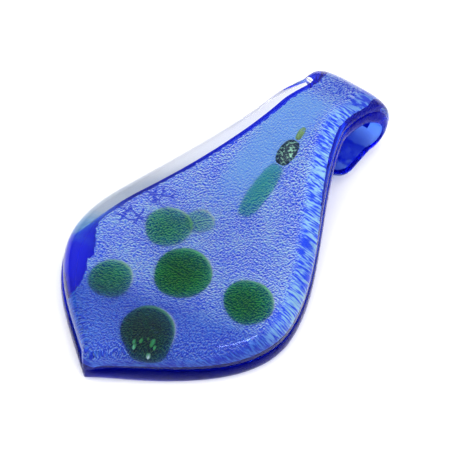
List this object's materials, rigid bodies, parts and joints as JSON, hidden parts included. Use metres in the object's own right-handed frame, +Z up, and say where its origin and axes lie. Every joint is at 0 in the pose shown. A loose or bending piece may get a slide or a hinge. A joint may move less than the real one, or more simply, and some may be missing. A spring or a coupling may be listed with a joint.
{
  "type": "glass pendant",
  "caption": "Domed teardrop glass pendant with a drawn neck curled under into a bail, silver leaf and coloured dots under clear glass.",
  "frame": {"origin": "middle of the bail's bore, on its axis", "axes": "+X along the bore, across the pendant; -Y towards the teardrop's point; +Z up, away from the flat back that the pendant lies on"},
  "size_m": [0.0348, 0.0597, 0.0105],
  "materials": {
    "cobalt_glass": "transparent cobalt blue glass, fire polished",
    "silver_leaf": "crackled silver leaf, blue from the glass under it",
    "clear_glass": "clear glass, fire polished",
    "green_glass": "transparent green glass over leaf",
    "pale_green_glass": "thin pale green glass",
    "teal_glass": "thin teal glass",
    "aventurine_glass": "dark green aventurine glass with bright flecks"
  },
  "bodies": {
    "root": {"cobalt_base": "cobalt_glass", "silver_leaf": "silver_leaf", "clear_casing": "clear_glass", "clear_rim": "clear_glass", "green_dot_left": "green_glass", "green_dot_centre": "green_glass", "green_dot_right": "green_glass", "green_dot_upper": "green_glass", "green_dot_pale": "pale_green_glass", "green_dot_lower": "green_glass", "teal_streak": "teal_glass", "aventurine_chip": "aventurine_glass", "green_wisp": "pale_green_glass"}
  },
  "joints": []
}
